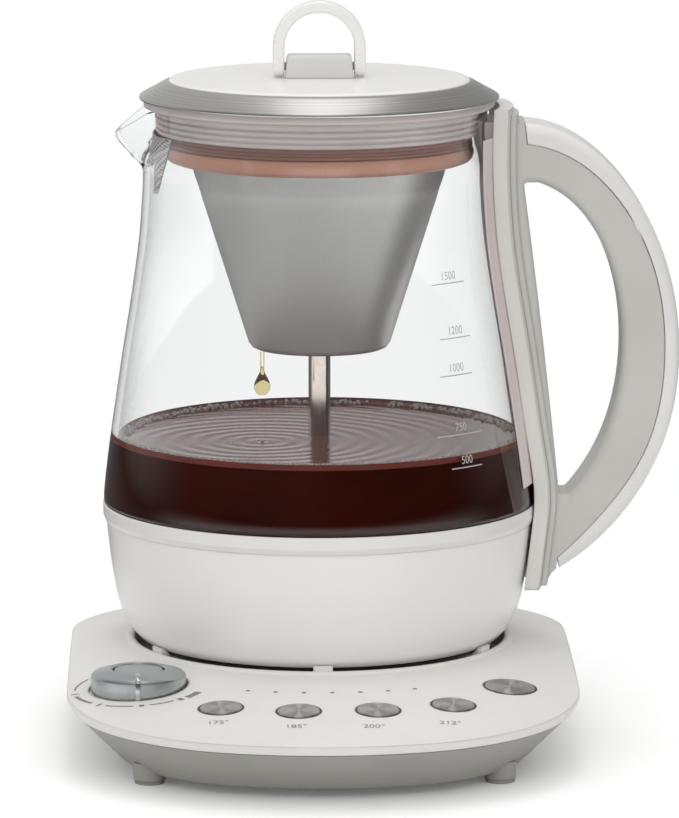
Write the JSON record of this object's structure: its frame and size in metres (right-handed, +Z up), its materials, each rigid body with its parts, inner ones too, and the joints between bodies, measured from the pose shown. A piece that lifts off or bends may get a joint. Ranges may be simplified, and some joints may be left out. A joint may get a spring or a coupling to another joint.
{
  "type": "automatic tea maker",
  "caption": "Automatic tea maker: glass jug with heated floor, D handle, lid and brewing basket on a powered base with a dial and push buttons.",
  "frame": {"origin": "on the table, under the axis of the jug", "axes": "+Z up along the jug's axis, +X towards the handle, -Y towards the front with the controls"},
  "size_m": [0.2214, 0.2319, 0.2647],
  "materials": {
    "bail_metal": "white painted bail",
    "basket_steel": "fine etched steel mesh",
    "board_green": "green glass-fibre circuit board",
    "button_steel": "spun steel caps",
    "clear_glass": "clear borosilicate glass",
    "collar_white": "glossy warm white ring",
    "contact_brass": "plated brass contacts",
    "core_yellow": "taped transformer",
    "cover_white": "warm white moulded plastic, fine satin texture",
    "foot_rubber": "grey non-slip rubber",
    "frame_warm": "warm light grey moulding, satin",
    "gasket_silicone": "translucent pinkish silicone",
    "gland_rubber": "soft dark grey cord gland",
    "grip_grey": "light grey satin plastic",
    "handle_white": "white cover, semi-gloss",
    "heater_steel": "darkened heater sheath",
    "knob_metal": "fine-blasted anodised aluminium",
    "knob_white": "white moulded pointer",
    "lid_steel": "brushed stainless rim",
    "lid_white": "white disc, semi-gloss",
    "light_clear": "clear light guide with frosted tips",
    "mesh_steel": "fine etched steel mesh",
    "pad_silicone": "pink silicone strip",
    "part_black": "black moulded electrical parts",
    "plate_steel": "pressed stainless steel",
    "plunger_white": "white acetal",
    "ring_silicone": "pinkish brown silicone ring",
    "screw_steel": "zinc-plated steel screws",
    "seal_silicone": "translucent silicone",
    "shaft_steel": "steel encoder shaft",
    "shell_white": "glossy white moulding",
    "skirt_grey": "mid grey moulded plastic, satin",
    "socket_black": "black heat-resistant plastic",
    "spreader_aluminium": "cast aluminium",
    "tube_steel": "polished stainless tube"
  },
  "bodies": {
    "base": {"base_top_cover": "cover_white", "base_skirt": "skirt_grey", "rubber_feet": "foot_rubber", "base_screws": "screw_steel", "cord_gland": "gland_rubber", "socket_housing": "socket_black", "socket_contacts": "contact_brass", "control_board": "board_green", "button_switches": "part_black", "light_guide": "light_clear", "dial_encoder": "part_black", "power_board": "board_green", "relay": "part_black", "transformer": "core_yellow", "board_screws": "screw_steel"},
    "knob": {"knob_ring": "knob_metal", "knob_pointer": "knob_white", "knob_cap": "knob_metal", "encoder_shaft": "shaft_steel"},
    "jug": {"jug_shell": "shell_white", "jug_floor_cover": "shell_white", "floor_screws": "screw_steel", "jug_connector": "socket_black", "connector_contacts": "contact_brass", "heating_plate": "plate_steel", "plate_seal": "seal_silicone", "jug_collar": "collar_white", "heat_spreader": "spreader_aluminium", "heater_tube": "heater_steel", "thermal_cutouts": "part_black", "temperature_probe": "plate_steel", "glass_jug": "clear_glass", "spout_strainer": "mesh_steel", "handle_frame": "frame_warm", "handle_screws": "screw_steel", "handle_pad": "pad_silicone", "handle_grip": "grip_grey", "handle_cover": "handle_white"},
    "lid": {"lid_cap": "lid_steel", "lid_disc": "lid_white", "lid_screw": "screw_steel", "lid_core": "lid_white", "lid_gasket": "gasket_silicone", "bail_block": "lid_white", "bail_pin": "shaft_steel"},
    "bail": {"lid_bail": "bail_metal"},
    "infuser": {"infuser_ring": "ring_silicone", "infuser_basket": "basket_steel", "riser_tube": "tube_steel", "spray_head": "tube_steel"},
    "temperature_button_1": {"temperature_button_1_cap": "button_steel", "temperature_button_1_plunger": "plunger_white"},
    "temperature_button_2": {"temperature_button_2_cap": "button_steel", "temperature_button_2_plunger": "plunger_white"},
    "temperature_button_3": {"temperature_button_3_cap": "button_steel", "temperature_button_3_plunger": "plunger_white"},
    "temperature_button_4": {"temperature_button_4_cap": "button_steel", "temperature_button_4_plunger": "plunger_white"},
    "start_button": {"start_button_cap": "button_steel", "start_button_plunger": "plunger_white"}
  },
  "joints": [
    {"name": "knob_turn", "type": "hinge", "parent": "base", "child": "knob", "pos_m": [-0.0655, -0.073, 0.03], "axis": [0, 0, 1], "range_deg": [-130, 130]},
    {"name": "jug_lift", "type": "slide", "parent": "base", "child": "jug", "axis": [0, 0, 1], "range_m": [0, 0.08]},
    {"name": "lid_lift", "type": "slide", "parent": "jug", "child": "lid", "axis": [0, 0, 1], "range_m": [0, 0.17]},
    {"name": "bail_fold", "type": "hinge", "parent": "lid", "child": "bail", "pos_m": [0, 0, 0.2411], "axis": [1, 0, 0], "range_deg": [-85, 85]},
    {"name": "infuser_release", "type": "slide", "parent": "lid", "child": "infuser", "axis": [0, 0, -1], "range_m": [0, 0.008]},
    {"name": "temperature_button_1_press", "type": "slide", "parent": "base", "child": "temperature_button_1", "axis": [0.0375, 0.1068, -0.9936], "range_m": [0, 0.0008], "stiffness_N_per_m": 2500},
    {"name": "temperature_button_2_press", "type": "slide", "parent": "base", "child": "temperature_button_2", "axis": [0.0096, 0.1128, -0.9936], "range_m": [0, 0.0008], "stiffness_N_per_m": 2500},
    {"name": "temperature_button_3_press", "type": "slide", "parent": "base", "child": "temperature_button_3", "axis": [-0.019, 0.1116, -0.9936], "range_m": [0, 0.0008], "stiffness_N_per_m": 2500},
    {"name": "temperature_button_4_press", "type": "slide", "parent": "base", "child": "temperature_button_4", "axis": [-0.0463, 0.1033, -0.9936], "range_m": [0, 0.0008], "stiffness_N_per_m": 2500},
    {"name": "start_button_press", "type": "slide", "parent": "base", "child": "start_button", "axis": [-0.0743, 0.0854, -0.9936], "range_m": [0, 0.0008], "stiffness_N_per_m": 2500}
  ]
}
